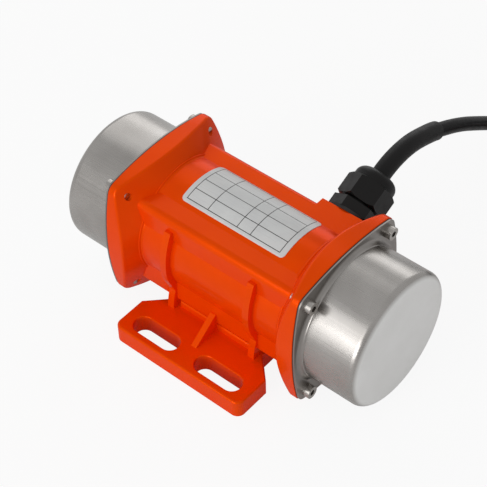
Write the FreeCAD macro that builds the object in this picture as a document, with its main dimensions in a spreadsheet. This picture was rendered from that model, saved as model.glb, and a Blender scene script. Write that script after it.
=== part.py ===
# Vibration motor: a 24 V brushed motor in a finned casting, with a pair of adjustable
# eccentric weights under a drawn steel cap at each end, on a slotted foot.
#
# Frame: +Z up, X along the shaft, origin in the middle of the foot's underside. Most bodies
# are drawn about the shaft, then lifted to its height by their Placement. What both ends
# share is drawn for the right-hand (+X) end, and turned half round for the left-hand one.
import FreeCAD, Part
import math
import os
import Sketcher

doc = FreeCAD.newDocument("vibration_motor")
X_WAY = FreeCAD.Vector(1, 0, 0)
Z_WAY = FreeCAD.Vector(0, 0, 1)

# ---------------------------------------------------------------- driving dimensions, mm, degrees
DIMENSIONS = {
    "shaft_height": 43.5,
    "foot_length": 85, "foot_width": 121, "foot_thickness": 10.7, "foot_corner": 4.5,
    "foot_waist": 31, "slot_length": 29.5, "slot_width": 11, "slot_x": 21, "slot_y": 51,
    "barrel_radius": 33, "bore_radius": 29, "rail_side": 29.4, "rail_top": 28.4,
    "rail_bottom": 27.1, "rib_x": 27.3, "rib_thickness": 4, "rib_radius": 36.4,
    "wall_y": 27.2, "curb_x": 23.5, "curb_y": 29.3, "curb_height": 3.8,
    "flange_face": 61.1, "flange_back": 45.6, "flange_middle": 41.7, "flange_slope": 0.61,
    "screw_pitch": 31.5, "flange_corner": 6.5,
    "gasket_thickness": 0.5, "cover_sheet": 0.8, "cover_radius": 37.4, "cover_end": 95.5,
    "cover_wall": 1.2, "cover_corner": 4.5, "cover_bead": 2.5,
    "gland_x": 35, "gland_tilt": 25.2, "gland_seat": 41, "gland_flats": 24,
    "gland_thread": 10, "cable_radius": 4, "sleeve_radius": 5.2,
    "shaft_radius": 7.5, "shaft_middle": 9, "shaft_end": 92.6, "bearing_x": 50.5,
    "bearing_width": 11, "bearing_radius": 17.5, "bearing_pitch": 12.5, "ball_radius": 2.9,
    "weight_radius": 33, "weight_thickness": 12, "fixed_weight_x": 67.5,
    "adjustable_weight_x": 80.3, "clamp_height": 12.2, "clamp_screw": 2.5,
    "core_radius": 19, "core_left": -34, "core_right": 8, "yoke_left": -44, "yoke_right": 18,
    "magnet_inner": 19.8, "magnet_outer": 24.9, "commutator_radius": 11.5, "slack": 0.03,
}
sheet = doc.addObject("Spreadsheet::Sheet", "Sizes")
for row, (alias, number) in enumerate(DIMENSIONS.items(), start=1):
    sheet.set("A%d" % row, alias)
    sheet.set("B%d" % row, str(number))
    sheet.setAlias("B%d" % row, alias)
doc.recompute()


class Size:
    """A dimension: its value, and the text that binds a property to the sheet."""

    def __init__(self, value, text):
        self.value = value
        self.text = text

    def __add__(self, other):
        return Size(self.value + value_of(other), "(%s + %s)" % (self.text, text_of(other)))

    def __sub__(self, other):
        return Size(self.value - value_of(other), "(%s - %s)" % (self.text, text_of(other)))

    def __mul__(self, other):
        return Size(self.value * value_of(other), "(%s * %s)" % (self.text, text_of(other)))

    def __truediv__(self, other):
        return Size(self.value / value_of(other), "(%s / %s)" % (self.text, text_of(other)))

    def __neg__(self):
        return Size(-self.value, "(-1 * %s)" % self.text)


class Sizes:
    """Every alias of the sheet as an attribute that is a Size."""

    def __getattr__(self, alias):
        return Size(float(sheet.get(alias)), "Sizes." + alias)


dim = Sizes()


def value_of(size):
    return size.value if isinstance(size, Size) else size


def text_of(size):
    return size.text if isinstance(size, Size) else "%g" % size


def bind(item, name, size):
    """Gives a property its size, by an expression where the size comes from the sheet."""
    if isinstance(size, Size):
        item.setExpression(name, size.text)
    else:
        setattr(item, name, size)


# ---------------------------------------------------------------- bodies, sketches and features
def new_body(label, left=False):
    """A body about the shaft axis, at the shaft's height, turned half round for the left end."""
    body = doc.addObject("PartDesign::Body", label)
    body.AllowCompound = True
    turn = FreeCAD.Rotation(Z_WAY, 180 if left else 0)
    body.Placement = FreeCAD.Placement(FreeCAD.Vector(0, 0, 0), turn)
    bind(body, "Placement.Base.z", dim.shaft_height)
    return body


def gland_body_at(label):
    """A body whose own X axis is the cable gland's axis, counted from the shaft axis."""
    body = doc.addObject("PartDesign::Body", label)
    tilt = FreeCAD.Rotation(X_WAY, dim.gland_tilt.value).multiply(FreeCAD.Rotation(Z_WAY, 90))
    place = FreeCAD.Vector(dim.gland_x.value, 0, dim.shaft_height.value)
    body.Placement = FreeCAD.Placement(place, tilt)
    return body


def origin_part(body, role):
    return [item for item in body.Origin.OriginFeatures if item.Role == role][0]


def new_sketch(body, plane, offset=0):
    """A sketch on one of the body's origin planes, moved along the plane's normal."""
    sketch = body.newObject("Sketcher::SketchObject", "Sketch")
    sketch.AttachmentSupport = [(origin_part(body, plane), "")]
    sketch.MapMode = "FlatFace"
    if isinstance(offset, Size):
        sketch.setExpression("AttachmentOffset.Base.z", offset.text)
    else:
        sketch.AttachmentOffset = FreeCAD.Placement(FreeCAD.Vector(0, 0, offset), FreeCAD.Rotation())
    return sketch


def constrain(sketch, kind, size, *where):
    index = sketch.addConstraint(Sketcher.Constraint(kind, *where, value_of(size)))
    if isinstance(size, Size):
        sketch.renameConstraint(index, "held_%d" % index)
        sketch.setExpression("Constraints.held_%d" % index, size.text)


def hold_point(sketch, geometry, vertex, x, y):
    """Holds a point by its two distances from the sketch's origin."""
    for size, kind, axis in ((x, "DistanceX", -2), (y, "DistanceY", -1)):
        if value_of(size) == 0:
            sketch.addConstraint(Sketcher.Constraint("PointOnObject", geometry, vertex, axis))
        else:
            constrain(sketch, kind, size, -1, 1, geometry, vertex)


def short_arc(start, end, radius):
    """The short arc between two points. It turns left where the radius is positive."""
    chord = end - start
    left = FreeCAD.Vector(-chord.y, chord.x, 0).normalize()
    depth = math.sqrt(radius ** 2 - (chord.Length / 2) ** 2)
    centre = (start + end) * 0.5 + left * math.copysign(depth, radius)
    angles = [math.atan2(p.y - centre.y, p.x - centre.x) for p in (start, end)]
    if radius < 0:
        angles.reverse()
    if angles[1] < angles[0]:
        angles[1] += 2 * math.pi
    return Part.ArcOfCircle(Part.Circle(centre, Z_WAY, abs(radius)), *angles)


def add_outline(sketch, points):
    """A closed outline. A point (x, y) starts a line, and (x, y, radius) a short arc."""
    places = [FreeCAD.Vector(value_of(p[0]), value_of(p[1]), 0) for p in points]
    ends = []
    for point, start, end in zip(points, places, places[1:] + places[:1]):
        if len(point) == 3:
            radius = value_of(point[2])
            index = sketch.addGeometry(short_arc(start, end, radius), False)
            ends.append((index, 1, 2) if radius > 0 else (index, 2, 1))
        else:
            index = sketch.addGeometry(Part.LineSegment(start, end), False)
            ends.append((index, 1, 2))
    for here, following in zip(ends, ends[1:] + ends[:1]):
        sketch.addConstraint(Sketcher.Constraint("Coincident", here[0], here[2], following[0], following[1]))
    for point, end in zip(points, ends):
        hold_point(sketch, end[0], end[1], point[0], point[1])
        if len(point) == 3:
            size = point[2] if value_of(point[2]) > 0 else -point[2]
            constrain(sketch, "Radius", size, end[0])


def add_circle(sketch, x, y, radius):
    circle = Part.Circle(FreeCAD.Vector(value_of(x), value_of(y), 0), Z_WAY, value_of(radius))
    index = sketch.addGeometry(circle, False)
    hold_point(sketch, index, 3, x, y)
    constrain(sketch, "Radius", radius, index)


def outline(body, plane, points, offset=0):
    sketch = new_sketch(body, plane, offset)
    add_outline(sketch, points)
    return sketch


def disc(body, x, y, radius, offset=0, plane="YZ_Plane"):
    sketch = new_sketch(body, plane, offset)
    add_circle(sketch, x, y, radius)
    return sketch


def hexagon_points(x, y, flats, first=0):
    """The six corners of a hexagon, the first at an angle from the sketch's horizontal axis."""
    corner = flats / math.sqrt(3)
    turns = [math.radians(first + 60 * k) for k in range(6)]
    return [(x + corner * math.cos(a), y + corner * math.sin(a)) for a in turns]


def swept(body, kind, sketch, length, reverse=False):
    """A Pad or a Pocket of a sketch."""
    feature = body.newObject("PartDesign::" + kind, kind)
    feature.Profile = sketch
    bind(feature, "Length", length)
    feature.Reversed = reverse
    doc.recompute()
    return feature


def pad(body, sketch, length, reverse=False):
    return swept(body, "Pad", sketch, length, reverse)


def pocket(body, sketch, length, reverse=False):
    return swept(body, "Pocket", sketch, length, reverse)


def spun(body, kind, points):
    """A Revolution or a Groove about the body's own X axis, of an outline in (x, radius)."""
    sketch = outline(body, "XY_Plane", points)
    feature = body.newObject("PartDesign::" + kind, kind)
    feature.Profile = sketch
    feature.ReferenceAxis = (sketch, ["H_Axis"])
    feature.Angle = 360
    doc.recompute()
    return feature


def turned(label, points, left=False):
    body = new_body(label, left)
    spun(body, "Revolution", points)
    return body


def around(body, features, count):
    """Repeats features evenly about the body's own X axis."""
    pattern = body.newObject("PartDesign::PolarPattern", "PolarPattern")
    pattern.Originals = features
    pattern.Axis = (origin_part(body, "X_Axis"), [""])
    pattern.Angle = 360
    pattern.Occurrences = count
    body.Tip = pattern
    doc.recompute()
    return pattern


def across(body, features, plane):
    """Repeats features across one of the body's origin planes."""
    mirror = body.newObject("PartDesign::Mirrored", "Mirrored")
    mirror.Originals = features
    mirror.MirrorPlane = (origin_part(body, plane), [""])
    body.Tip = mirror
    doc.recompute()
    return mirror


def rounded(body, radius, wanted):
    """Fillets the edges of the body so far that the test named wanted picks out."""
    feature = body.Tip
    names = ["Edge%d" % (i + 1) for i, edge in enumerate(feature.Shape.Edges) if wanted(edge)]
    fillet = body.newObject("PartDesign::Fillet", "Fillet")
    fillet.Base = (feature, names)
    fillet.Radius = radius
    doc.recompute()
    print("%s: %d edges rounded to %.1f mm" % (body.Label, len(names), radius))
    return fillet


def lies_at(edge, axis, place):
    """Whether an edge lies wholly in the plane at a place along one of the axes."""
    return all(abs(getattr(vertex.Point, axis) - place) < 0.01 for vertex in edge.Vertexes)


def pillow(sketch, inset=0):
    """The square end flange's outline, with rounded corners about the screws and bowed sides."""
    pitch = dim.screw_pitch
    corner = dim.flange_corner - inset
    middle = dim.flange_middle - inset
    reach = middle - corner
    centre = (reach * reach - pitch * pitch * 2) / ((reach - pitch) * 2)
    bow = middle - centre
    slope = math.atan2(pitch.value, pitch.value - centre.value)
    side = FreeCAD.Vector(value_of(centre), 0, 0)
    first = sketch.GeometryCount
    for quarter in range(4):
        turn = FreeCAD.Rotation(Z_WAY, 90 * quarter)
        angle = math.radians(90 * quarter)
        middle_of_side = turn.multVec(side)
        bowed = Part.Circle(middle_of_side, Z_WAY, value_of(bow))
        sketch.addGeometry(Part.ArcOfCircle(bowed, angle - slope, angle + slope), False)
        screw = turn.multVec(FreeCAD.Vector(pitch.value, pitch.value, 0))
        round_screw = Part.Circle(screw, Z_WAY, value_of(corner))
        sketch.addGeometry(
            Part.ArcOfCircle(round_screw, angle + slope, angle + math.pi / 2 - slope), False)
    for quarter in range(4):
        bowed = first + 2 * quarter
        corner_arc = bowed + 1
        after = first + (2 * quarter + 2) % 8
        sketch.addConstraint(Sketcher.Constraint("Tangent", bowed, 2, corner_arc, 1))
        sketch.addConstraint(Sketcher.Constraint("Tangent", corner_arc, 2, after, 1))
        constrain(sketch, "Radius", corner, corner_arc)
        signs = ((1, 1), (-1, 1), (-1, -1), (1, -1))[quarter]
        x = pitch if signs[0] > 0 else -pitch
        y = pitch if signs[1] > 0 else -pitch
        hold_point(sketch, corner_arc, 3, x, y)
        constrain(sketch, "Radius", bow, bowed)
    return sketch


def cap_screws(label, seat, y, z, count, thread, grip, head, height, key, left=False):
    """Socket head screws along the shaft's direction, evenly spaced about it."""
    body = new_body(label, left)
    heads = pad(body, disc(body, y, z, head, seat), height)
    shanks = pad(body, disc(body, y, z, thread, seat), grip, reverse=True)
    corners = hexagon_points(value_of(y), value_of(z), key)
    sockets = pocket(body, outline(body, "YZ_Plane", corners, seat + height), height / 2)
    around(body, [heads, shanks, sockets], count)
    return body


# ---------------------------------------------------------------- the casting
def housing():
    """One aluminium casting: barrel with four corner rails, two end flanges and the foot."""
    body = new_body("housing")
    floor = -dim.shaft_height
    foot_top = floor + dim.foot_thickness
    pad(body, disc(body, 0, 0, dim.barrel_radius, -dim.flange_face), dim.flange_face * 2)
    # End flanges, pillow-shaped, whose backs slope away from the barrel as a cone.
    depth, face = dim.flange_face - dim.flange_back, dim.flange_face.value
    right_flange = pad(body, pillow(new_sketch(body, "YZ_Plane", dim.flange_back)), depth)
    reach = dim.barrel_radius * 1.8
    slope_end = dim.flange_back + (reach - dim.barrel_radius) * dim.flange_slope
    back = spun(body, "Groove", [
        (dim.flange_back - 1, dim.barrel_radius), (dim.flange_back, dim.barrel_radius),
        (slope_end, reach), (dim.flange_back - 1, reach)])
    across(body, [right_flange, back], "YZ_Plane")
    # The rim's back edge is well rounded, and the edge against the gasket is only broken.
    rim = dim.barrel_radius.value + 3
    rounded(body, 1.6, lambda edge: is_rim_back(edge, rim))
    rounded(body, 0.5, lambda edge: lies_at(edge, "x", face) or lies_at(edge, "x", -face))
    # Corner rails: a squared section whose upper corners are rounded and lower ones sharp.
    rail_end = dim.flange_back + 6
    bend = 4.2
    side, top, bottom = dim.rail_side, dim.rail_top, -dim.rail_bottom
    pad(body, outline(body, "YZ_Plane", [
        (side, bottom), (side, top - bend, bend), (side - bend, top),
        (-side + bend, top, bend), (-side, top - bend), (-side, bottom)], -rail_end), rail_end * 2)
    # Foot plate, waisted between the flanges, with two slots on each side.
    end, wide, waist, bow = dim.foot_length / 2, dim.foot_width / 2, dim.foot_waist, dim.foot_corner
    shoulder = waist - 3.5
    knee = shoulder + end - waist
    pad(body, outline(body, "XY_Plane", [
        (end - bow, -wide, bow), (end, -wide + bow), (end, -knee), (waist, -shoulder),
        (waist, shoulder), (end, knee), (end, wide - bow, bow), (end - bow, wide),
        (-end + bow, wide, bow), (-end, wide - bow), (-end, knee), (-waist, shoulder),
        (-waist, -shoulder), (-end, -knee), (-end, -wide + bow, bow), (-end + bow, -wide)],
        floor), dim.foot_thickness)
    rounded(body, 1.2, lambda edge: lies_at(edge, "z", foot_top.value) and all(
        abs(vertex.Y) > shoulder.value - 0.01 for vertex in edge.Vertexes))
    # The boss that the cable gland screws into, with its face square to the gland.
    tilt = math.radians(dim.gland_tilt.value)
    seat = dim.gland_seat.value
    along = FreeCAD.Vector(math.cos(tilt), math.sin(tilt), 0)
    down = FreeCAD.Vector(math.sin(tilt), -math.cos(tilt), 0)
    middle = along * seat
    upper = middle + down * ((middle.y - dim.rail_top.value) / math.cos(tilt))
    lower = middle + down * 14
    boss_left = dim.gland_x - 13.2
    pad(body, outline(body, "YZ_Plane", [
        (20, top), (20, -8), (dim.barrel_radius - 1, -8), (lower.x, lower.y), (upper.x, top)],
        boss_left), dim.flange_back + 5 - boss_left)
    # Walls under the lower rails, set back a little, with a curb along the foot of each.
    wall = dim.wall_y
    pad(body, outline(body, "XY_Plane", [
        (-dim.rib_x, -wall), (dim.rib_x, -wall), (dim.rib_x, wall), (-dim.rib_x, wall)],
        foot_top - 1), dim.barrel_radius * 0.4)
    low, high, step = foot_top - 0.5, foot_top + dim.curb_height, dim.curb_y
    curb = pad(body, outline(body, "YZ_Plane", [
        (-step, low), (-step, high - 0.7), (-step + 0.7, high), (-26, high), (-26, low)],
        -dim.curb_x), dim.curb_x * 2)
    # A triangular gusset stands between the two slots.
    gusset = pad(body, outline(body, "YZ_Plane", [
        (-45.9, low), (-45.9, foot_top), (-30.1, -20.9), (-27, -20.9), (-27, low)], -1.7), 3.4)
    across(body, [curb, gusset], "XZ_Plane")
    # Side ribs hug the barrel, then swing out to stand on the foot.
    for sign in (-1, 1):
        for start in (-dim.rib_x - dim.rib_thickness / 2, dim.rib_x - dim.rib_thickness / 2):
            pad(body, outline(body, "YZ_Plane", rib_outline(sign, low), start), dim.rib_thickness)
    # Bores: the yoke's right through, the gland's thread and wire way through the boss.
    solid = body.Tip.Shape.Volume
    pocket(body, disc(body, 0, 0, dim.bore_radius, dim.flange_face), dim.flange_face * 2)
    for radius, start, depth in ((dim.gland_thread + dim.slack, 32, 12), (7, 24, 12)):
        bore = disc(body, 0, 0, radius, plane="XY_Plane")
        lean = FreeCAD.Rotation(X_WAY, dim.gland_tilt.value - 90)
        place = lean.multVec(FreeCAD.Vector(0, 0, start)) + FreeCAD.Vector(dim.gland_x.value, 0, 0)
        bore.AttachmentOffset = FreeCAD.Placement(place, lean)
        pocket(body, bore, depth, reverse=True)
    # Slots for the holding-down bolts.
    straight = (dim.slot_length - dim.slot_width) / 2
    half = dim.slot_width / 2
    slots = []
    for x in (dim.slot_x, -dim.slot_x):
        slot = new_sketch(body, "XY_Plane", foot_top)
        add_slot(slot, x, dim.slot_y, straight, half)
        slots.append(pocket(body, slot, dim.foot_thickness))
    across(body, slots, "XZ_Plane")
    rounded(body, 0.6, lambda edge: lies_at(edge, "z", foot_top.value) and all(
        abs(vertex.X) > 4 and 45 < abs(vertex.Y) < 57 for vertex in edge.Vertexes))
    # Threaded holes at the flange corners for the covers, and round the bore for the shields.
    for radius, y, z, depth in ((2.05, dim.screw_pitch, dim.screw_pitch, 15), (2.05, 33, 0, 10)):
        hole = pocket(body, disc(body, y, z, radius, dim.flange_face), depth)
        around(body, [hole], 4)
        far = pocket(body, disc(body, y, z, radius, -dim.flange_face), depth, reverse=True)
        around(body, [far], 4)
    doc.recompute()
    print("housing: bores and slots removed %.0f mm3" % (solid - body.Tip.Shape.Volume))
    return body


def rib_outline(sign, low):
    """A side rib's section, for the -Y or the +Y side of the barrel."""
    hug = dim.rib_radius
    points = [
        (26, 21.8), (31.3, 21.8, 50), (hug, 0, hug), (34.9, -10.4), (30.6, -20.8, 42),
        (32.9, low), (26, low)]
    return [(p[0] * sign, p[1]) if len(p) == 2 else (p[0] * sign, p[1], p[2] * -sign)
            for p in points]


def is_rim_back(edge, beyond):
    """Whether an edge runs round a flange's rim, where its side meets its sloping back."""
    middle = edge.valueAt((edge.FirstParameter + edge.LastParameter) / 2)
    away = math.hypot(middle.y, middle.z)
    return away > beyond and dim.flange_back.value < abs(middle.x) < dim.flange_face.value - 0.5


def add_slot(sketch, x, y, straight, half):
    """A slot along the sketch's horizontal axis, centred on (x, y)."""
    right, left = x + straight, x - straight
    first = sketch.GeometryCount
    for centre, start in ((right, -math.pi / 2), (left, math.pi / 2)):
        place = FreeCAD.Vector(value_of(centre), value_of(y), 0)
        circle = Part.Circle(place, Z_WAY, value_of(half))
        sketch.addGeometry(Part.ArcOfCircle(circle, start, start + math.pi), False)
    for height, ends in ((value_of(y + half), (right, left)), (value_of(y - half), (left, right))):
        points = [FreeCAD.Vector(value_of(end), height, 0) for end in ends]
        sketch.addGeometry(Part.LineSegment(*points), False)
    for arc, line, after in ((first, first + 2, first + 1), (first + 1, first + 3, first)):
        sketch.addConstraint(Sketcher.Constraint("Tangent", arc, 2, line, 1))
        sketch.addConstraint(Sketcher.Constraint("Tangent", line, 2, after, 1))
    hold_point(sketch, first, 3, right, y)
    hold_point(sketch, first + 1, 3, left, y)
    constrain(sketch, "Radius", half, first)


# ---------------------------------------------------------------- the ends
def gasket(name, left):
    """Thin rubber between the casting and the cover's flange."""
    body = new_body(name, left)
    pad(body, pillow(new_sketch(body, "YZ_Plane", dim.flange_face), 0.5), dim.gasket_thickness)
    inside = disc(body, 0, 0, dim.cover_radius - dim.cover_wall, dim.flange_face)
    pocket(body, inside, dim.gasket_thickness, reverse=True)
    hole = disc(body, dim.screw_pitch, dim.screw_pitch, 2.2, dim.flange_face)
    around(body, [pocket(body, hole, dim.gasket_thickness, reverse=True)], 4)


def cover(name, left):
    """A deep-drawn cap: pillow flange, a rolled foot, a plain wall and a flat end."""
    body = new_body(name, left)
    seat = dim.flange_face + dim.gasket_thickness
    pad(body, pillow(new_sketch(body, "YZ_Plane", seat), 0.45), dim.cover_sheet)
    top = seat + dim.cover_sheet
    outer, bead, corner = dim.cover_radius, dim.cover_bead, dim.cover_corner
    inner = outer - dim.cover_wall
    end = dim.cover_end
    inner_corner = corner - dim.cover_wall
    # The cap is spun as a full cup, then opened by its own bore.
    spun(body, "Revolution", [
        (seat, 0), (seat, outer + bead), (top, outer + bead, 2.4), (top + 2, outer + 0.35),
        (top + 2.4, outer),
        (end - corner, outer, -corner), (end, outer - corner), (end, 0)])
    floor = end - dim.cover_wall
    spun(body, "Groove", [
        (seat - 1, 0), (seat - 1, inner), (floor - inner_corner, inner, -inner_corner),
        (floor, inner - inner_corner), (floor, 0)])
    hole = disc(body, dim.screw_pitch, dim.screw_pitch, 2.2, top)
    around(body, [pocket(body, hole, dim.cover_sheet)], 4)


def end_shield(name, left):
    """The bearing bracket: a spigot in the bore, a flange on the casting and the bearing's seat."""
    start = dim.bearing_x
    seat = dim.bearing_radius + dim.slack
    face = dim.flange_face
    stop = start + dim.bearing_width
    body = turned(name, [
        (start, seat), (start, 24), (57, 24), (57, 26), (55, 26), (55, dim.bore_radius - dim.slack),
        (face, dim.bore_radius - dim.slack), (face, 35.6), (face + 3.5, 35.6), (face + 3.5, 26),
        (face + 4.5, 23), (face + 4.5, 10.2), (stop, 10.2), (stop, seat)], left)
    hole = disc(body, 33, 0, 2.2, face + 3.5)
    around(body, [pocket(body, hole, 3.5)], 4)
    if not left:
        tapped = disc(body, 20.9, 0, 1.55, start)
        around(body, [pocket(body, tapped, 8, reverse=True)], 2)


def bearing(name, left):
    """A deep-groove ball bearing, 15 x 35 x 11, as its rings, balls and seals."""
    start, end = dim.bearing_x, dim.bearing_x + dim.bearing_width
    middle = dim.bearing_x + dim.bearing_width / 2
    outer, pitch = dim.bearing_radius, dim.bearing_pitch
    # The groove's arcs are centred on the balls' circle, 1.9 mm from each ring's land.
    groove, land = 3.05, 1.9
    half = math.sqrt(groove ** 2 - land ** 2)
    turned(name + "_outer_ring", [
        (start, pitch + land), (start, outer), (end, outer), (end, pitch + land),
        (middle + half, pitch + land, groove), (middle - half, pitch + land)], left)
    turned(name + "_inner_ring", [
        (start, dim.shaft_radius + 0.02), (end, dim.shaft_radius + 0.02), (end, pitch - land),
        (middle + half, pitch - land, -groove), (middle - half, pitch - land),
        (start, pitch - land)], left)
    balls = []
    for turn in range(7):
        ball = doc.addObject("Part::Sphere", name + "_ball")
        bind(ball, "Radius", dim.ball_radius)
        angle = math.radians(360 / 7 * turn)
        reach = FreeCAD.Vector(0, math.cos(angle), math.sin(angle)) * pitch.value
        x = -middle.value if left else middle.value
        ball.Placement.Base = FreeCAD.Vector(x, 0, dim.shaft_height.value) + reach
        balls.append(ball)
    group = doc.addObject("Part::Compound", name + "_balls")
    group.Links = balls
    seals = new_body(name + "_seals", left)
    for place in (start + 0.3, end - 1.1):
        spun(seals, "Revolution", [
            (place, pitch - 1.8), (place + 0.8, pitch - 1.8), (place + 0.8, pitch + 1.85),
            (place, pitch + 1.85)])


def eccentric_weight(name, start, left):
    """A half-round steel weight hanging from a split hub that a screw clamps to the shaft."""
    body = new_body(name, left)
    radius = dim.weight_radius
    tilt = math.radians(8)
    rim_y, rim_z = radius * math.cos(tilt), -radius * math.sin(tilt)
    lug, shoulder = 14, 17.5
    pad(body, outline(body, "YZ_Plane", [
        (-rim_y, rim_z, radius), (rim_y, rim_z), (lug, -1), (lug, 14), (10, shoulder),
        (-10, shoulder), (-lug, 14), (-lug, -1)], start), dim.weight_thickness)
    pocket(body, disc(body, 0, 0, dim.shaft_radius + 0.05, start), dim.weight_thickness,
           reverse=True)
    pocket(body, outline(body, "YZ_Plane", [(-0.8, 5), (0.8, 5), (0.8, 18), (-0.8, 18)], start),
           dim.weight_thickness, reverse=True)
    middle = start + dim.weight_thickness / 2
    hole = disc(body, middle, dim.clamp_height, dim.clamp_screw + 0.05, -15, plane="XZ_Plane")
    pocket(body, hole, 30, reverse=True)


def clamp_screw(name, start, left):
    """The socket screw across a weight's split hub."""
    body = new_body(name, left)
    middle = start + dim.weight_thickness / 2
    height = dim.clamp_height
    pad(body, disc(body, middle, height, 4.2, -14.05, "XZ_Plane"), 5, reverse=True)
    pad(body, disc(body, middle, height, dim.clamp_screw, -14.05, "XZ_Plane"), 25)
    corners = hexagon_points(middle.value, height.value, 4)
    pocket(body, outline(body, "XZ_Plane", corners, -19.05), 2.5, reverse=True)


# ---------------------------------------------------------------- the motor inside
def stator():
    """The steel yoke tube and its two arc magnets."""
    turned("stator_yoke", [
        (dim.yoke_left, dim.magnet_outer + dim.slack), (dim.yoke_right, dim.magnet_outer + dim.slack),
        (dim.yoke_right, dim.bore_radius - dim.slack), (dim.yoke_left, dim.bore_radius - dim.slack)])
    body = new_body("field_magnets")
    half = math.radians(64)
    inner, outer = dim.magnet_inner, dim.magnet_outer
    across_half, up_half = math.cos(half), math.sin(half)
    magnet = pad(body, outline(body, "YZ_Plane", [
        (inner * across_half, inner * up_half, -inner), (inner * across_half, -inner * up_half),
        (outer * across_half, -outer * up_half, outer), (outer * across_half, outer * up_half)],
        dim.core_left - 3), dim.core_right - dim.core_left + 6)
    around(body, [magnet], 2)


def slot_outline(inset):
    """A winding slot of the core, pointing up, narrowed all round by the inset."""
    return [(-1.7 + inset, 11.5 + inset), (1.7 - inset, 11.5 + inset),
            (2.9 - inset, 16.8 - inset), (-2.9 + inset, 16.8 - inset)]


def armature():
    """The slotted core, its winding, the commutator and the shaft they are pressed onto."""
    length = dim.core_right - dim.core_left
    core = new_body("armature_core")
    pad(core, disc(core, 0, 0, dim.core_radius, dim.core_left), length)
    pocket(core, disc(core, 0, 0, dim.shaft_middle + 0.02, dim.core_left), length, reverse=True)
    slot = pocket(core, outline(core, "YZ_Plane", slot_outline(0), dim.core_left), length, True)
    mouth = pocket(core, outline(core, "YZ_Plane", [
        (-0.9, 16), (0.9, 16), (0.9, 20), (-0.9, 20)], dim.core_left), length, True)
    around(core, [slot, mouth], 12)
    winding = new_body("armature_winding")
    for start, end in ((dim.core_left - 9, dim.core_left), (dim.core_right, dim.core_right + 9)):
        spun(winding, "Revolution", [
            (start, 11), (end, 11), (end, 17), (end - 2, 18.2), (start + 3, 18), (start, 15)])
    bar = pad(winding, outline(winding, "YZ_Plane", slot_outline(0.1), dim.core_left - 1), length + 2)
    around(winding, [bar], 12)
    commutator = turned("commutator", [
        (21, dim.shaft_middle + 0.02), (40, dim.shaft_middle + 0.02), (40, dim.commutator_radius),
        (24, dim.commutator_radius), (24, 13.5), (21, 13.5)])
    gap = pocket(commutator, outline(commutator, "YZ_Plane", [
        (-0.4, 10.4), (0.4, 10.4), (0.4, 14), (-0.4, 14)], 20.5), 20, True)
    around(commutator, [gap], 12)
    end, seat, neck = dim.shaft_end, dim.shaft_radius, dim.bearing_x
    turned("shaft", [
        (-end, 0), (end, 0), (end, seat - 1), (end - 1, seat), (neck, seat),
        (neck, dim.shaft_middle), (-neck, dim.shaft_middle), (-neck, seat), (-end + 1, seat),
        (-end, seat - 1)])


def brush_gear():
    """The brush holder on the right-hand shield, two brushes, their springs and screws."""
    start = dim.bearing_x
    holder = new_body("brush_holder")
    pad(holder, disc(holder, 0, 0, 26, start - 3.5), 3.5)
    pocket(holder, disc(holder, 0, 0, 13, start - 3.5), 3.5, reverse=True)
    for sign in (1, -1):
        pad(holder, outline(holder, "YZ_Plane", [
            (-5.5, sign * 13), (-5.5, sign * 26.5), (5.5, sign * 26.5), (5.5, sign * 13)], 26),
            dim.bearing_x - 27)
        pocket(holder, outline(holder, "YZ_Plane", [
            (-3.3, sign * 12), (-3.3, sign * 25.3), (3.3, sign * 25.3), (3.3, sign * 12)], 27.5),
            9.2, reverse=True)
    around(holder, [pocket(holder, disc(holder, 20.9, 0, 1.6, start - 3.5), 3.5, reverse=True)], 2)
    brushes = new_body("brushes")
    brush = pad(brushes, outline(brushes, "YZ_Plane", [
        (-3.2, 12.2), (0, 11.56), (3.2, 12.2), (3.2, 20), (-3.2, 20)], 27.6), 9)
    around(brushes, [brush], 2)
    springs = []
    for sign in (1, -1):
        spring = doc.addObject("Part::Feature", "brush_spring")
        spring.Shape = coil_spring(2.2, 0.3, 1.45, 3)
        turn = FreeCAD.Rotation(X_WAY, 0 if sign > 0 else 180)
        place = FreeCAD.Vector(32.1, 0, dim.shaft_height.value + sign * 20.5)
        spring.Placement = FreeCAD.Placement(place, turn)
        springs.append(spring)
    group = doc.addObject("Part::Compound", "brush_springs")
    group.Links = springs


def coil_spring(radius, wire, pitch, turns):
    """An open coil of square wire about Z that stands just above the origin."""
    helix = Part.makeHelix(pitch, pitch * turns, radius)
    corners = [(radius - wire, -wire), (radius + wire, -wire), (radius + wire, wire),
               (radius - wire, wire), (radius - wire, -wire)]
    section = Part.makePolygon([FreeCAD.Vector(x, 0, z) for x, z in corners])
    return Part.Wire(helix).makePipeShell([section], True, True)


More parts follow.
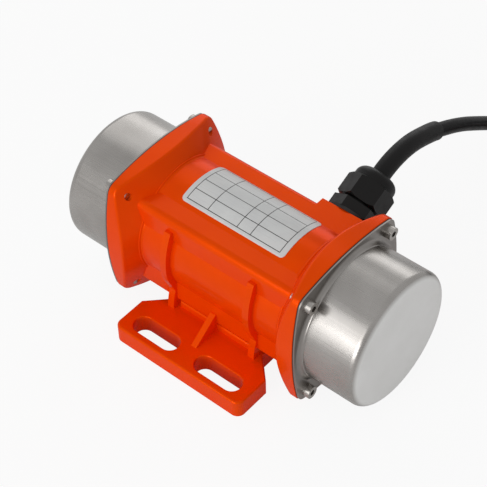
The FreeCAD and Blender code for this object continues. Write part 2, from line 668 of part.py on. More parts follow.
# ---------------------------------------------------------------- the gland and the cable
def gland():
    """The cable gland: sealing washer, threaded body, rubber seal and dome nut."""
    seat, flats, thread = dim.gland_seat, dim.gland_flats, dim.gland_thread
    washer = gland_body_at("gland_washer")
    spun(washer, "Revolution", [
        (seat, thread + 0.1), (seat + 1.7, thread + 0.1), (seat + 1.7, 13), (seat, 13)])
    lower, upper = seat + 1.7, seat + 7.5
    body = gland_body_at("gland_body")
    spun(body, "Revolution", [
        (seat - 8, 4.1), (seat - 8, thread), (lower, thread), (lower, 11.5), (upper, 11.5),
        (upper, 9.2), (seat + 18.5, 9.2), (seat + 18.5, 7.05), (seat + 9, 7.05), (seat + 9, 4.1)])
    corners = hexagon_points(0, 0, flats.value, 21.1)
    hexagon = new_sketch(body, "YZ_Plane", lower)
    add_outline(hexagon, corners)
    add_circle(hexagon, 0, 0, thread - 0.4)
    pad(body, hexagon, upper - lower)
    seal = gland_body_at("gland_seal")
    spun(seal, "Revolution", [
        (seat + 9, 4.05), (seat + 9, 7), (seat + 22.5, 7), (seat + 22.5, 4.05)])
    nut = gland_body_at("gland_nut")
    start, shoulder, tip = upper + 1.5, seat + 21.2, seat + 27.7
    hexagon = new_sketch(nut, "YZ_Plane", start)
    add_outline(hexagon, corners)
    pad(nut, hexagon, shoulder - start)
    spun(nut, "Revolution", [
        (start + 1, 0), (start + 1, 11.8), (shoulder, 11.8), (shoulder + 2.7, 11.6, -5),
        (tip, 8.3), (tip, 0)])
    spun(nut, "Groove", [
        (start - 1, 0), (start - 1, 9.3), (seat + 19.5, 9.3), (seat + 19.5, 7.05),
        (seat + 23, 7.05), (seat + 23, dim.sleeve_radius + 0.1),
        (tip + 1, dim.sleeve_radius + 0.1), (tip + 1, 0)])
    # Both ends of the nut's hexagon are chamfered, as if turned.
    for face, back in ((start, start + 1.2), (shoulder, shoulder - 1.2)):
        spun(nut, "Groove", [(face, 12.3), (back, 14.2), (face, 14.2)])
    entry = gland_body_at("cable_entry")
    spun(entry, "Revolution", [
        (seat - 9, 0), (seat - 9, dim.cable_radius), (seat + 23, dim.cable_radius),
        (seat + 23, 0)])


def tube(label, points, radius):
    """A bar of round section along straight runs joined by tangent arcs."""
    runs = [after - here for here, after in zip(points, points[1:])]
    edges = []
    here = points[0]
    bends = []
    for corner, before, after in zip(points[1:], runs, runs[1:]):
        turn = before.getAngle(after)
        reach = 0.45 * min(before.Length, after.Length)
        bends.append(reach / math.tan(turn / 2))
        into = corner - FreeCAD.Vector(before).normalize() * reach
        out = corner + FreeCAD.Vector(after).normalize() * reach
        middle = (into + out) * 0.5
        sag = (corner - middle).Length
        lift = bends[-1] * (1 / math.cos(turn / 2) - 1)
        through = corner + (middle - corner) * (lift / sag)
        edges.append(Part.LineSegment(here, into).toShape())
        edges.append(Part.Arc(into, through, out).toShape())
        here = out
    edges.append(Part.LineSegment(here, points[-1]).toShape())
    path = Part.Wire(edges)
    section = Part.Wire(Part.Circle(points[0], runs[0], radius).toShape())
    piece = doc.addObject("Part::Feature", label)
    piece.Shape = path.makePipeShell([section], True, False)
    full = math.pi * radius ** 2 * path.Length
    report = (label, path.Length, ", ".join("%.0f" % bend for bend in bends),
              piece.Shape.Volume / full)
    print("%s: %.0f mm long, bend radii %s, volume ratio %.4f" % report)
    return piece


def cable():
    """The lead: over-sleeve, the stretch down to the floor, and a flat coil lying beside it."""
    x = dim.gland_x.value
    tilt = math.radians(dim.gland_tilt.value)
    start = dim.gland_seat.value + 23
    mouth = FreeCAD.Vector(
        x, start * math.cos(tilt), dim.shaft_height.value + start * math.sin(tilt))
    sleeve_route = [mouth] + [FreeCAD.Vector(x, y, z) for y, z in (
        (66, 74.5), (74.6, 76.6), (83.5, 77), (92.3, 75.8), (106.5, 71.2), (111.5, 68.9))]
    tube("cable_sleeve", sleeve_route, dim.sleeve_radius.value)
    lie = dim.cable_radius.value
    cable_route = [sleeve_route[-1]] + [FreeCAD.Vector(*p) for p in (
        (x, 134.3, 57.5), (x, 157, 42.3), (x, 181, 25.4), (x, 200, 12.8), (x, 219, lie + 0.8),
        (x + 0.5, 240, lie + 1.05))]
    tube("cable", cable_route, lie)
    # The coil: one ring for the two turns on the floor, and part of a turn lying on them.
    centre = FreeCAD.Vector(x + 48.6, 243, 0)
    rings_at("cable_coil", centre, -108, [
        ([(36, 1), (52.1, 1), (52.1, 9.1), (36, 9.1)], 360),
        ([(40, 9.1), (48.1, 9.1), (48.1, 16.2), (40, 16.2)], 288)])
    tie = doc.addObject("PartDesign::Body", "coil_tie")
    tie.Placement = FreeCAD.Placement(centre, FreeCAD.Rotation(Z_WAY, 90))
    pad(tie, outline(tie, "XZ_Plane", [
        (34.9, 0), (53.2, 0), (53.2, 9.5), (48.7, 17.3), (39.3, 17.3), (34.9, 9.5)], -1.8), 3.6)
    pocket(tie, outline(tie, "XZ_Plane", [
        (35.95, 0.95), (52.15, 0.95), (52.15, 9.2), (48.15, 16.25), (39.95, 16.25),
        (35.95, 9.2)], -1.8), 3.6, reverse=True)
    # The two stripped conductors point on from the end of the upper turn.
    end = centre + FreeCAD.Vector(-13.6, -41.8, 12.2)
    away, aside = FreeCAD.Vector(-19, 6.2, -2), FreeCAD.Vector(0.31, 0.95, 0)
    tails = [Part.makeCylinder(1, away.Length, end + aside * gap, away) for gap in (-1.3, 1.3)]
    piece = doc.addObject("Part::Feature", "wire_ends")
    piece.Shape = Part.makeCompound(tails)


def rings_at(label, centre, first, rings):
    """Rings about an upright axis, each from a section in (radius, height) swept by an angle."""
    body = doc.addObject("PartDesign::Body", label)
    body.Placement = FreeCAD.Placement(centre, FreeCAD.Rotation(Z_WAY, first))
    for points, sweep in rings:
        sketch = outline(body, "XZ_Plane", points)
        feature = body.newObject("PartDesign::Revolution", "Revolution")
        feature.Profile = sketch
        feature.ReferenceAxis = (sketch, ["V_Axis"])
        feature.Angle = sweep
        doc.recompute()


def motor_leads():
    """Two insulated wires from the cable's end to the brush boxes."""
    tilt = math.radians(dim.gland_tilt.value)
    reach = dim.gland_seat.value - 9
    end = FreeCAD.Vector(dim.gland_x.value, reach * math.cos(tilt), reach * math.sin(tilt))
    lift = FreeCAD.Vector(0, 0, dim.shaft_height.value)
    wires = []
    for sign in (1, -1):
        start = end + FreeCAD.Vector(0, 0, 1.6 * sign)
        stop = FreeCAD.Vector(32, 5.5, 21 * sign)
        wires.append(Part.makeCylinder(1, (stop - start).Length, start + lift, stop - start))
    piece = doc.addObject("Part::Feature", "motor_leads")
    piece.Shape = Part.makeCompound(wires)


# ---------------------------------------------------------------- the assembly
housing()
for end_name, is_left in (("left", True), ("right", False)):
    gasket(end_name + "_cover_gasket", is_left)
    cover(end_name + "_cover", is_left)
    cap_screws(end_name + "_cover_screws", dim.flange_face + dim.gasket_thickness + dim.cover_sheet,
               dim.screw_pitch, dim.screw_pitch, 4, 2, 9, 3.5, 4, 3, is_left)
    end_shield(end_name + "_end_shield", is_left)
    cap_screws(end_name + "_shield_screws", dim.flange_face + 3.5, 33, 0, 4, 2, 12, 3.0, 2.2, 2.5,
               is_left)
    bearing(end_name + "_bearing", is_left)
    turned(end_name + "_spacer", [
        (dim.bearing_x + dim.bearing_width, 7.55), (dim.fixed_weight_x, 7.55),
        (dim.fixed_weight_x, 9.8), (dim.bearing_x + dim.bearing_width, 9.8)], is_left)
    eccentric_weight(end_name + "_fixed_weight", dim.fixed_weight_x, is_left)
    clamp_screw(end_name + "_fixed_weight_screw", dim.fixed_weight_x, is_left)
    eccentric_weight(end_name + "_adjustable_weight", dim.adjustable_weight_x, is_left)
    clamp_screw(end_name + "_adjustable_weight_screw", dim.adjustable_weight_x, is_left)
stator()
armature()
brush_gear()
cap_screws("brush_holder_screws", -(dim.bearing_x - 3.5), 20.9, 0, 2, 1.5, 8, 2.6, 2, 2, left=True)
gland()
cable()
motor_leads()
doc.recompute()


# ---------------------------------------------------------------- checks and files
def owned(item):
    """Whether another object of the document already holds this one."""
    holders = [other for other in item.InList if other.TypeId in ("PartDesign::Body", "Part::Compound")]
    return bool(holders)


for item in doc.Objects:
    if "Invalid" in item.State or "Error" in item.State:
        raise RuntimeError("%s failed: %s" % (item.Label, item.State))
os.makedirs("parts", exist_ok=True)
kinds = ("PartDesign::Body", "Part::Compound", "Part::Feature")
for item in doc.Objects:
    if item.TypeId in kinds and not owned(item):
        shape = item.Shape
        if shape.isNull() or not shape.isValid():
            raise RuntimeError("%s has no valid shape" % item.Label)
        shape.exportStep("parts/%s.step" % item.Label)
        print("%-28s %2d solids %10.1f mm3" % (item.Label, len(shape.Solids), shape.Volume))
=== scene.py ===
import bpy
import bmesh
import math
from mathutils import Matrix, Vector


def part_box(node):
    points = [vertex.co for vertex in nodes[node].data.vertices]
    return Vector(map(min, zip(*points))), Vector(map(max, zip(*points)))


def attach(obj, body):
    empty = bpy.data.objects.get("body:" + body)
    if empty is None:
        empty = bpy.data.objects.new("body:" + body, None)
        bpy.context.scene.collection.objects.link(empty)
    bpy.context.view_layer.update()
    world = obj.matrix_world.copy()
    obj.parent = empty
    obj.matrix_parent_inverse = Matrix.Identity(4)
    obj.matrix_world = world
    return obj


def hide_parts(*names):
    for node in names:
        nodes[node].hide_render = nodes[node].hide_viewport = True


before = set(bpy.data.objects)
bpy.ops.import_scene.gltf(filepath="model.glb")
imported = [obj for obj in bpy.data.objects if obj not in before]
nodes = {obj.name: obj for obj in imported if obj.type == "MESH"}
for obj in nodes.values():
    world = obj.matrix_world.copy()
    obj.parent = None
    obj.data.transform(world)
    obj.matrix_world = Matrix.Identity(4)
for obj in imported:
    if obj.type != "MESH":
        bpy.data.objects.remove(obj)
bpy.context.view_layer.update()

# ------------------------------------------------------------------ camera
# A long lens, as for a catalogue: it looks down on the motor from the front right,
# so that the plate on the barrel, the foot and the right-hand cover all show.
scene = bpy.context.scene
azimuth, elevation, roll = math.radians(41.416), math.radians(46.356), math.radians(-1.699)
distance = 0.81896
aim = Vector((0, 0, 0.0425))
aim_shift_right, aim_shift_up = -0.003317, 0.0053465
back = Vector((math.sin(azimuth) * math.cos(elevation),
               -math.cos(azimuth) * math.cos(elevation), math.sin(elevation)))
level = Vector((math.cos(azimuth), math.sin(azimuth), 0))
upright = back.cross(level)
right = math.cos(roll) * level + math.sin(roll) * upright
up = -math.sin(roll) * level + math.cos(roll) * upright
lens = bpy.data.cameras.new("camera")
lens.lens = 117.9
lens.sensor_width = 36
lens.clip_start = 0.05
camera = bpy.data.objects.new("camera", lens)
scene.collection.objects.link(camera)
place = aim + aim_shift_right * right + aim_shift_up * up + distance * back
camera.matrix_world = Matrix.Translation(place) @ Matrix((right, up, back)).transposed().to_4x4()
scene.camera = camera

# ------------------------------------------------------------------ lead
# A round black rubber cable, 8 mm across. It leaves the gland's nut, arches over, comes
# down to the bench and is put away in a small coil of nearly three turns, held by a tie.
lead_radius = 0.004
gland_x = 0.035
mouth_y, mouth_z = 0.057909, 0.070750
lead_route = [(gland_x, y, z) for y, z in (
    (mouth_y, mouth_z), (0.0660, 0.0745), (0.0746, 0.0766), (0.0835, 0.0770),
    (0.0923, 0.0758), (0.1065, 0.0712), (0.1115, 0.0689), (0.1343, 0.0575),
    (0.1570, 0.0423), (0.1810, 0.0254), (0.2000, 0.0128), (0.2190, 0.0048))]
coil_centre = Vector((0.0836, 0.243, 0))
coil_lanes = ((0.0481, 0.0051), (0.0400, 0.0051), (0.04405, 0.0122))    # radius, height
coil_turns = 2.8
points_a_turn = 15
turns_to_change_lane = 0.2
# The coil's turns lie in three lanes: two flat on the bench, one inside the other, and one
# on top in the groove between them. The cable eases from each lane into the next.
for step in range(round(coil_turns * points_a_turn) + 1):
    turns = step / points_a_turn
    lane = min(int(turns + 0.5), len(coil_lanes) - 1)
    share = min(max((turns - lane) / turns_to_change_lane + 0.5, 0), 1)
    share *= share * (3 - 2 * share)
    old_lane, new_lane = coil_lanes[max(lane - 1, 0)], coil_lanes[lane]
    radius, height = (old + (new - old) * share for old, new in zip(old_lane, new_lane))
    angle = math.pi - 2 * math.pi * turns
    lead_route.append((coil_centre.x + radius * math.cos(angle),
                       coil_centre.y + radius * math.sin(angle), height))

lead_curve = bpy.data.curves.new("cable_lead", "CURVE")
lead_curve.dimensions = "3D"
lead_curve.resolution_u = 6
spline = lead_curve.splines.new("NURBS")
spline.points.add(len(lead_route) - 1)
for spot, point in zip(spline.points, lead_route):
    spot.co = (*point, 1)
spline.order_u = 3
spline.use_endpoint_u = True
lead = bpy.data.objects.new("cable_lead", lead_curve)
scene.collection.objects.link(lead)
middle_line = bpy.data.meshes.new_from_object(lead)
lead_path = [vertex.co.copy() for vertex in middle_line.vertices]
bpy.data.meshes.remove(middle_line)
lead_curve.bevel_depth = lead_radius
lead_curve.bevel_resolution = 6
lead_curve.use_fill_caps = True


def finish(name, colour, roughness, metallic=0.0, specular=0.5):
    """A new material, its node tree and its shader."""
    material = bpy.data.materials.new(name)
    material.use_nodes = True
    shader = material.node_tree.nodes["Principled BSDF"]
    shader.inputs["Base Color"].default_value = (*colour, 1)
    shader.inputs["Roughness"].default_value = roughness
    shader.inputs["Metallic"].default_value = metallic
    shader.inputs["Specular IOR Level"].default_value = specular
    return material, material.node_tree, shader


def grain(tree, lumps, detail=2.0):
    """Noise with so many lumps to the metre: one figure, or one each for X, Y and Z."""
    where = tree.nodes.new("ShaderNodeTexCoord")
    mapping = tree.nodes.new("ShaderNodeMapping")
    mapping.inputs["Scale"].default_value = lumps if isinstance(lumps, tuple) else (lumps,) * 3
    tree.links.new(where.outputs["Object"], mapping.inputs["Vector"])
    texture = tree.nodes.new("ShaderNodeTexNoise")
    texture.inputs["Scale"].default_value = 1
    texture.inputs["Detail"].default_value = detail
    tree.links.new(mapping.outputs["Vector"], texture.inputs["Vector"])
    return texture.outputs["Fac"]


noise_span = (0.3, 0.7)          # most of the noise lies between these


def vary(tree, shader, socket, pattern, low, high):
    """Runs a colour, or a grey where low and high are numbers, between two values."""
    ramp = tree.nodes.new("ShaderNodeValToRGB")
    for end, value, position in zip(ramp.color_ramp.elements, (low, high), noise_span):
        end.color = (*value, 1) if isinstance(value, tuple) else (value, value, value, 1)
        end.position = position
    tree.links.new(pattern, ramp.inputs["Fac"])
    tree.links.new(ramp.outputs["Color"], shader.inputs[socket])


def relief(tree, shader, pattern, depth, strength):
    """Adds a bump, over any bump that is already there."""
    bump = tree.nodes.new("ShaderNodeBump")
    bump.inputs["Distance"].default_value = depth
    bump.inputs["Strength"].default_value = strength
    tree.links.new(pattern, bump.inputs["Height"])
    for link in shader.inputs["Normal"].links:
        tree.links.new(link.from_socket, bump.inputs["Normal"])
    tree.links.new(bump.outputs["Normal"], shader.inputs["Normal"])


def dress(material, *names):
    """Gives CAD nodes a material."""
    for name in names:
        nodes[name].data.materials.clear()
        nodes[name].data.materials.append(material)


cable_rubber, tree, shader = finish(
    "cable_rubber", (0.005, 0.0045, 0.005), roughness=0.40, specular=0.1)
vary(tree, shader, "Roughness", grain(tree, 400, 3), 0.30, 0.42)
relief(tree, shader, grain(tree, 1500), depth=0.00003, strength=0.3)
lead_curve.materials.append(cable_rubber)
dress(cable_rubber, "cable_entry")
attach(lead, "housing")
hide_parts("cable", "cable_coil")

# ------------------------------------------------------------------ over-sleeve
# A thicker tube of soft black rubber, slid over the cable where it leaves the gland. It
# stiffens the first bend, and its end is cut square.
sleeve_radius = 0.0052
sleeve_end_y = 0.1115
sleeve_chamfer = 0.0006
sleeve_sides = 40
covered = next(index for index, point in enumerate(lead_path) if point.y > sleeve_end_y)
sleeve_path, following = lead_path[:covered], lead_path[covered]
last = sleeve_path[-1]
tip = last + (following - last) * ((sleeve_end_y - last.y) / (following.y - last.y))
sleeve_path += [tip - (tip - last).normalized() * sleeve_chamfer, tip]


def band(mesh, near, far):
    """The faces between two rings of points, one after the other round the ring."""
    beside = [(index + 1) % len(near) for index in range(len(near))]
    return [mesh.faces.new((near[index], near[after], far[after], far[index]))
            for index, after in enumerate(beside)]


def piece_of(mesh, name, material, body):
    """Makes a piece of a bmesh, gives it its material and puts it on its body."""
    made = bpy.data.meshes.new(name)
    mesh.to_mesh(made)
    mesh.free()
    made.materials.append(material)
    piece = bpy.data.objects.new(name, made)
    scene.collection.objects.link(piece)
    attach(piece, body)
    return piece


sleeve_mesh = bmesh.new()
sideways = Vector((1, 0, 0))
angles = [2 * math.pi * side / sleeve_sides for side in range(sleeve_sides)]
rings = []
for index, point in enumerate(sleeve_path):
    ahead = sleeve_path[min(index + 1, len(sleeve_path) - 1)] - sleeve_path[max(index - 1, 0)]
    upward = ahead.normalized().cross(sideways)
    radius = sleeve_radius - (sleeve_chamfer if point is tip else 0)
    rings.append([sleeve_mesh.verts.new(
        point + (sideways * math.cos(angle) + upward * math.sin(angle)) * radius)
        for angle in angles])
for near, far in zip(rings, rings[1:]):
    for face in band(sleeve_mesh, near, far):
        face.smooth = True
for end_ring in (rings[0], rings[-1]):
    sleeve_mesh.faces.new(end_ring)
bmesh.ops.recalc_face_normals(sleeve_mesh, faces=sleeve_mesh.faces)
sleeve_rubber, tree, shader = finish(
    "sleeve_rubber", (0.007, 0.0065, 0.0065), roughness=0.42, specular=0.25)
vary(tree, shader, "Roughness", grain(tree, 300, 3), 0.38, 0.52)
relief(tree, shader, grain(tree, 1200), depth=0.00004, strength=0.3)
sleeve = piece_of(sleeve_mesh, "over_sleeve", sleeve_rubber, "housing")
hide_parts("cable_sleeve")

# ------------------------------------------------------------------ casting
# Barrel, square end flanges, ribs and foot are one die-cast aluminium piece. It is stoved
# in a glossy orange enamel, which lies a little unevenly, like fine orange peel.
enamel, tree, shader = finish(
    "orange_enamel", (0.88, 0.068, 0.0), roughness=0.26, metallic=0.3, specular=0.12)
shader.inputs["Specular Tint"].default_value = (1, 0.25, 0.05, 1)
shader.inputs["Coat Weight"].default_value = 0.15
shader.inputs["Coat Roughness"].default_value = 0.08
shader.inputs["Coat IOR"].default_value = 1.3
vary(tree, shader, "Base Color", grain(tree, 60, 4), (0.86, 0.064, 0.0), (0.90, 0.072, 0.0))
vary(tree, shader, "Roughness", grain(tree, 120, 2), 0.23, 0.27)
relief(tree, shader, grain(tree, 220, 1), depth=0.00002, strength=0.3)
dress(enamel, "housing")

# ------------------------------------------------------------------ root fillets
# Where the barrel runs into each flange the mould leaves a small round, so the enamel
# turns the corner softly. It is one ring of the casting at each end.
barrel_radius = 0.033
flange_back = 0.0456
shaft_height = 0.0435
root_radius = 0.0012
root_steps = 6
ring_steps = 160
buried = 0.0006          # how far the ring reaches into the barrel and the flange


def off_shaft(x, radius, angle):
    """A point at a radius from the shaft's line, turned from the top towards the back."""
    return x, radius * math.sin(angle), shaft_height + radius * math.cos(angle)


angles = [math.pi / 2 * step / root_steps for step in range(root_steps + 1)]
profile = [(flange_back - root_radius * (1 - math.sin(angle)),
            barrel_radius + root_radius * (1 - math.cos(angle))) for angle in angles]
root_start, root_top = profile[0][0], profile[-1][1]
profile += [(flange_back + buried, root_top), (flange_back + buried, barrel_radius - buried),
            (root_start, barrel_radius - buried)]
for side, outward in (("left", -1), ("right", 1)):
    root_mesh = bmesh.new()
    rings = []
    for step in range(ring_steps):
        angle = 2 * math.pi * step / ring_steps
        rings.append([root_mesh.verts.new(off_shaft(outward * x, radius, angle))
                      for x, radius in profile])
    for near, far in zip(rings, rings[1:] + rings[:1]):
        for corner, face in enumerate(band(root_mesh, near, far)):
            face.smooth = corner < root_steps
    bmesh.ops.recalc_face_normals(root_mesh, faces=root_mesh.faces)
    piece_of(root_mesh, side + "_root_fillet", enamel, "housing")

# ------------------------------------------------------------------ data plate
# A thin pale plate with rounded corners, stuck on top of the barrel. It is ruled with a
# fine grid of sixteen boxes, which are left empty.
plate_left, plate_right = -0.0326, 0.0336
plate_front, plate_back = -26.2, 31.5                    # degrees from the top of the barrel
plate_corner = 0.0025
corner_steps = 8
plate_lift = 0.0003
line_width = 0.00042
columns = (-0.0298, -0.0162, 0.0028, 0.0114, 0.0302)
rows = (-22.3, -10.6, 2.3, 15.6, 30.0)                   # degrees
widest_along, widest_round = 0.004, 0.0012
weld = 1e-7
plate_face, plate_underside = barrel_radius + plate_lift, barrel_radius - plate_lift
# Places round the barrel are arcs along the plate's face, in metres from its top.
degree = math.radians(1) * plate_face
front_arc, back_arc = plate_front * degree, plate_back * degree
row_arcs = [row * degree for row in rows]


def cuts(marks, low, high, widest):
    """Where a ruled sheet is cut: both sides of every line, and between them where wide."""
    sides = sorted([low, high] + [m + s * line_width / 2 for m in marks for s in (-1, 1)])
    places = []
    for near, far in zip(sides, sides[1:]):
        count = max(1, math.ceil((far - near) / widest))
        places += [near + (far - near) * step / count for step in range(count)]
    return places + [high]


def on_line(place, marks):
    """Whether a place lies on one of the lines."""
    return any(abs(place - mark) < line_width / 2 for mark in marks)


def inside_grid(place, marks):
    """Whether a place lies between the first line and the last."""
    return marks[0] - line_width < place < marks[-1] + line_width


insets = [0] + [plate_corner * (1 - math.cos(math.pi / 2 * step / corner_steps))
                for step in range(1, corner_steps)]
along = cuts(columns, plate_left + plate_corner, plate_right - plate_corner, widest_along)
along = sorted([plate_left + inset for inset in insets] + along
               + [plate_right - inset for inset in insets])
around = cuts(row_arcs, front_arc, back_arc, widest_round)
plate_mesh = bmesh.new()
grid = []
for x in along:
    inward = max(0, plate_left + plate_corner - x, x - plate_right + plate_corner)
    pulled = plate_corner - math.sqrt(max(0, plate_corner ** 2 - inward ** 2))
    column = []
    for arc in around:
        angle = min(max(arc, front_arc + pulled), back_arc - pulled) / plate_face
        column.append([plate_mesh.verts.new(off_shaft(x, radius, angle))
                       for radius in (plate_face, plate_underside)])
    grid.append(column)
for i, (x, next_x) in enumerate(zip(along, along[1:])):
    for j, (arc, next_arc) in enumerate(zip(around, around[1:])):
        corners = [grid[a][b] for a, b in ((i, j), (i + 1, j), (i + 1, j + 1), (i, j + 1))]
        top = plate_mesh.faces.new([corner[0] for corner in corners])
        top.smooth = True
        plate_mesh.faces.new([corner[1] for corner in reversed(corners)])
        middle_x, middle_arc = (x + next_x) / 2, (arc + next_arc) / 2
        framed = inside_grid(middle_x, columns) and inside_grid(middle_arc, row_arcs)
        ruled = on_line(middle_x, columns) or on_line(middle_arc, row_arcs)
        top.material_index = 1 if framed and ruled else 0
last_i, last_j = len(along) - 1, len(around) - 1
rim = [(i, 0) for i in range(last_i)] + [(last_i, j) for j in range(last_j)]
rim += [(i, last_j) for i in range(last_i, 0, -1)] + [(0, j) for j in range(last_j, 0, -1)]
for (i, j), (next_i, next_j) in zip(rim, rim[1:] + rim[:1]):
    plate_mesh.faces.new((*grid[i][j], *reversed(grid[next_i][next_j])))
bmesh.ops.remove_doubles(plate_mesh, verts=plate_mesh.verts, dist=weld)
bmesh.ops.recalc_face_normals(plate_mesh, faces=plate_mesh.faces)
plate_foil, tree, shader = finish("plate_foil", (0.66, 0.67, 0.67), roughness=0.30)
vary(tree, shader, "Base Color", grain(tree, 90, 4), (0.63, 0.64, 0.64), (0.69, 0.70, 0.69))
vary(tree, shader, "Roughness", grain(tree, (40, 900, 900), 3), 0.24, 0.36)
relief(tree, shader, grain(tree, 700), depth=0.00001, strength=0.5)
plate = piece_of(plate_mesh, "data_plate", plate_foil, "housing")
plate_ink, tree, shader = finish("plate_ink", (0.03, 0.03, 0.028), roughness=0.35)
vary(tree, shader, "Base Color", grain(tree, 900, 3), (0.02, 0.02, 0.02), (0.05, 0.05, 0.047))
plate.data.materials.append(plate_ink)

# ------------------------------------------------------------------ stator
# A rolled steel yoke pressed into the barrel, with two ferrite magnets glued inside it. The
# yoke carries their field, and is left bare.
bare_steel, tree, shader = finish("bare_steel", (0.50, 0.50, 0.50), roughness=0.32, metallic=1.0)
vary(tree, shader, "Roughness", grain(tree, 200, 3), 0.26, 0.38)
relief(tree, shader, grain(tree, 800), depth=0.00002, strength=0.4)
ferrite, tree, shader = finish("ferrite", (0.030, 0.030, 0.032), roughness=0.6)
vary(tree, shader, "Base Color", grain(tree, 700, 4),
     (0.022, 0.022, 0.024), (0.045, 0.045, 0.047))
relief(tree, shader, grain(tree, 1500, 3), depth=0.00003, strength=0.5)
dress(bare_steel, "stator_yoke")
dress(ferrite, "field_magnets")

# ------------------------------------------------------------------ rotor
# A ground shaft carries a stack of slotted steel sheets wound with enamelled copper, a
# copper commutator, and at each end a spacer and the inner half of a ball bearing.
sheet_edges, tree, shader = finish(
    "sheet_edges", (0.20, 0.20, 0.21), roughness=0.45, metallic=1.0)
relief(tree, shader, grain(tree, (2500, 1, 1)), depth=0.00005, strength=0.5)
copper, tree, shader = finish(
    "enamelled_copper", (0.50, 0.14, 0.05), roughness=0.35, metallic=1.0)
vary(tree, shader, "Base Color", grain(tree, 500, 3), (0.42, 0.11, 0.04), (0.58, 0.18, 0.07))
relief(tree, shader, grain(tree, 900, 3), depth=0.0001, strength=0.5)


def both_ends(*names):
    """The names of the pieces that the motor has at its left and at its right end."""
    return [end + "_" + name for end in ("left", "right") for name in names]


dress(bare_steel, "shaft", *both_ends("spacer", "bearing_inner_ring", "bearing_balls"))
dress(sheet_edges, "armature_core")
dress(copper, "armature_winding", "commutator")

# ------------------------------------------------------------------ brush gear
# Two carbon brushes in a moulded board, pressed onto the commutator by small springs. Two
# wires run from them to the gland, and come out stripped at the cable's far end.
bright_zinc, tree, shader = finish(
    "bright_zinc", (0.46, 0.435, 0.41), roughness=0.24, metallic=1.0)
vary(tree, shader, "Roughness", grain(tree, 900, 3), 0.18, 0.32)
relief(tree, shader, grain(tree, 1500), depth=0.00001, strength=0.5)
dress(ferrite, "brushes", "brush_holder")
dress(bright_zinc, "brush_springs", "brush_holder_screws")
dress(copper, "motor_leads", "wire_ends")

# ------------------------------------------------------------------ end shields
# Cast alloy discs, screwed into the barrel's ends. Each holds the outer ring and the two
# rubber seals of its bearing.
cast_alloy, tree, shader = finish("cast_alloy", (0.56, 0.56, 0.57), roughness=0.45, metallic=1.0)
relief(tree, shader, grain(tree, 600, 3), depth=0.00005, strength=0.5)
gasket_rubber, tree, shader = finish("gasket_rubber", (0.012, 0.012, 0.012), roughness=0.65)
relief(tree, shader, grain(tree, 2500), depth=0.00003, strength=0.5)
dress(cast_alloy, *both_ends("end_shield"))
dress(bright_zinc, *both_ends("shield_screws"))
dress(bare_steel, *both_ends("bearing_outer_ring"))
dress(gasket_rubber, *both_ends("bearing_seals"))

# ------------------------------------------------------------------ eccentric weights
# Two thick half-round steel plates at each end of the shaft. The inner one is fixed, and
# the outer one is turned against it to set the force; each is clamped by one screw.
dress(bare_steel, *both_ends("fixed_weight", "adjustable_weight"))
dress(bright_zinc, *both_ends("fixed_weight_screw", "adjustable_weight_screw"))

# ------------------------------------------------------------------ covers
# Deep-drawn stainless cups on a thin rubber gasket, each held to its flange by four socket
# screws. The wall is polished on a belt along its length, the square foot is left rougher,
# and the end face is a rougher satin. The base colours carry painted light: the foot is
# painted darker as shade, the wall darker as a painted dark reflection, and the end face
# paler as a painted bright reflection.
cover_seat, cover_end = (corner[0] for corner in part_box("right_cover"))
wall_begins = (cover_seat + 0.0020, cover_seat + 0.0040)
end_begins = (cover_end - 0.0017, cover_end - 0.0003)
# Base colours by zone, painted light: shade on the foot, a dark reflection on the wall, a bright
# reflection on the end face.
foot_steel_painted_shade = ((0.28, 0.26, 0.245), (0.36, 0.34, 0.32))
wall_steel_painted_dark_reflection = ((0.40, 0.38, 0.36), (0.49, 0.47, 0.45))
end_steel_painted_bright_reflection = ((0.86, 0.855, 0.84), (0.91, 0.905, 0.895))
stainless, tree, shader = finish(
    "belted_stainless_painted_reflection", (0.52, 0.495, 0.47), roughness=0.30, metallic=1.0)
split = tree.nodes.new("ShaderNodeSeparateXYZ")
tree.links.new(tree.nodes.new("ShaderNodeTexCoord").outputs["Object"], split.inputs["Vector"])
from_middle = tree.nodes.new("ShaderNodeMath")
from_middle.operation = "ABSOLUTE"
tree.links.new(split.outputs["X"], from_middle.inputs[0])


def vary_beyond(begins, socket, pattern, low, high):
    """Past a place along a cover, fades from what the socket has to other values."""
    before = shader.inputs[socket].links[0].from_socket
    vary(tree, shader, socket, pattern, low, high)
    beyond = tree.nodes.new("ShaderNodeMapRange")
    beyond.inputs["From Min"].default_value, beyond.inputs["From Max"].default_value = begins
    tree.links.new(from_middle.outputs[0], beyond.inputs["Value"])
    fade = tree.nodes.new("ShaderNodeMixRGB")
    tree.links.new(beyond.outputs["Result"], fade.inputs["Fac"])
    tree.links.new(before, fade.inputs["Color1"])
    tree.links.new(shader.inputs[socket].links[0].from_socket, fade.inputs["Color2"])
    tree.links.new(fade.outputs["Color"], shader.inputs[socket])


for socket, pattern, foot, wall, end_face in (
        ("Roughness", grain(tree, (20, 1200, 1200), 4), (0.30, 0.38), (0.24, 0.32), (0.40, 0.48)),
        ("Base Color", grain(tree, 45, 5), foot_steel_painted_shade, wall_steel_painted_dark_reflection, end_steel_painted_bright_reflection)):
    vary(tree, shader, socket, pattern, *foot)
    vary_beyond(wall_begins, socket, pattern, *wall)
    vary_beyond(end_begins, socket, pattern, *end_face)
relief(tree, shader, grain(tree, (30, 1400, 1400)), depth=0.00001, strength=0.3)
relief(tree, shader, grain(tree, 160), depth=0.00003, strength=0.3)
dress(stainless, *both_ends("cover"))
dress(gasket_rubber, *both_ends("cover_gasket"))
dress(bright_zinc, *both_ends("cover_screws"))

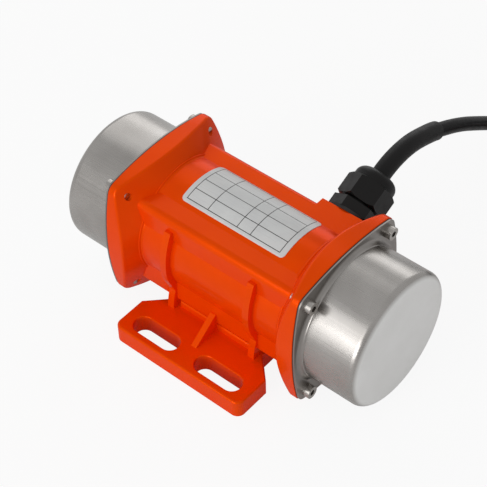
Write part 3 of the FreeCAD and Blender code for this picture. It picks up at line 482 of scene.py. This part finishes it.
# ------------------------------------------------------------------ gland
# A black nylon cable gland: a rubber washer and a hexagon body screwed into the casting's
# boss, a rubber seal round the cable, and a nut that tightens it. The coil's tie is nylon too.
nylon, tree, shader = finish(
    "black_nylon", (0.006, 0.0055, 0.0053), roughness=0.34, specular=0.25)
vary(tree, shader, "Roughness", grain(tree, 250, 3), 0.30, 0.44)
relief(tree, shader, grain(tree, 1800), depth=0.00004, strength=0.3)
dress(nylon, "gland_body", "gland_nut", "coil_tie")
dress(gasket_rubber, "gland_washer", "gland_seal")

# ------------------------------------------------------------------ bench
# A plain pale bench top. It shows white to the camera and in the metal, keeps a soft
# shadow, and throws only a little light back up.
scene.view_settings.view_transform = "Standard"
bench_reach = 6.0
below_foot = 0.0002
bench_colour = (0.85, 0.85, 0.85, 1)
bench_to_camera, white_in_metal = 0.9, 0.12
bench_mesh = bmesh.new()
bench_mesh.faces.new([bench_mesh.verts.new((x * bench_reach, y * bench_reach, -below_foot))
                      for x, y in ((-1, -1), (1, -1), (1, 1), (-1, 1))])
bench_data = bpy.data.meshes.new("bench")
bench_mesh.to_mesh(bench_data)
bench_mesh.free()
bench = bpy.data.objects.new("bench", bench_data)
scene.collection.objects.link(bench)
bench_top = bpy.data.materials.new("bench_top")
bench_top.use_nodes = True
tree = bench_top.node_tree
tree.nodes.clear()
matt = tree.nodes.new("ShaderNodeBsdfDiffuse")
matt.inputs["Color"].default_value = bench_colour
white = tree.nodes.new("ShaderNodeEmission")


def joined(tree, operation, *values):
    """Works out two values, each of them a number or another node's result."""
    node = tree.nodes.new("ShaderNodeMath")
    node.operation = operation
    for socket, value in zip(node.inputs, values):
        if isinstance(value, float):
            socket.default_value = value
        else:
            tree.links.new(value, socket)
    return node.outputs[0]


def whitened(tree, plain, white, to_camera):
    """Mixes white over a plain shader, for the camera and, a little, for metal or glass."""
    rays = tree.nodes.new("ShaderNodeLightPath").outputs
    off_metal = joined(tree, "MAXIMUM", rays["Is Glossy Ray"], rays["Is Transmission Ray"])
    share = joined(tree, "ADD", joined(tree, "MULTIPLY", rays["Is Camera Ray"], to_camera),
                   joined(tree, "MULTIPLY", off_metal, white_in_metal))
    mix = tree.nodes.new("ShaderNodeMixShader")
    for socket, source in zip(mix.inputs, (share, plain.outputs[0], white.outputs[0])):
        tree.links.new(source, socket)
    return mix.outputs[0]


surface = tree.nodes.new("ShaderNodeOutputMaterial").inputs["Surface"]
tree.links.new(whitened(tree, matt, white, bench_to_camera), surface)
bench_data.materials.append(bench_top)

# ------------------------------------------------------------------ light
# Plain studio light: a pale room, which shows white to the camera, two soft lamps in
# front, one high and one low, and two weaker ones behind on the left.
room_strength = 0.5
room_to_camera = 1.0
world = bpy.data.worlds.new("studio")
scene.world = world
world.use_nodes = True
tree = world.node_tree
room = tree.nodes["Background"]
room.inputs["Color"].default_value = (1, 1, 1, 1)
room.inputs["Strength"].default_value = room_strength
backdrop = tree.nodes.new("ShaderNodeBackground")
backdrop.inputs["Color"].default_value = (1, 1, 1, 1)
surface = tree.nodes["World Output"].inputs["Surface"]
tree.links.new(whitened(tree, room, backdrop, room_to_camera), surface)
lit_spot = Vector((0, 0, 0.04))
for name, spot, width, height, watts in (
        ("front_lamp", (-0.2, -1.15, 0.7), 0.8, 0.8, 2.8),
        ("low_front_lamp", (0.0, -1.3, 0.3), 0.8, 0.5, 5.0),
        ("back_left_lamp", (-0.75, 0.5, 0.8), 0.7, 0.7, 0.9),
        ("low_back_lamp", (-0.62, 1.12, 0.42), 0.9, 0.5, 1.5)):
    light = bpy.data.lights.new(name, "AREA")
    light.shape = "RECTANGLE"
    light.size, light.size_y = width, height
    light.energy = watts
    lamp = bpy.data.objects.new(name, light)
    scene.collection.objects.link(lamp)
    lamp.location = spot
    lamp.rotation_euler = (lit_spot - Vector(spot)).to_track_quat("-Z", "Y").to_euler()
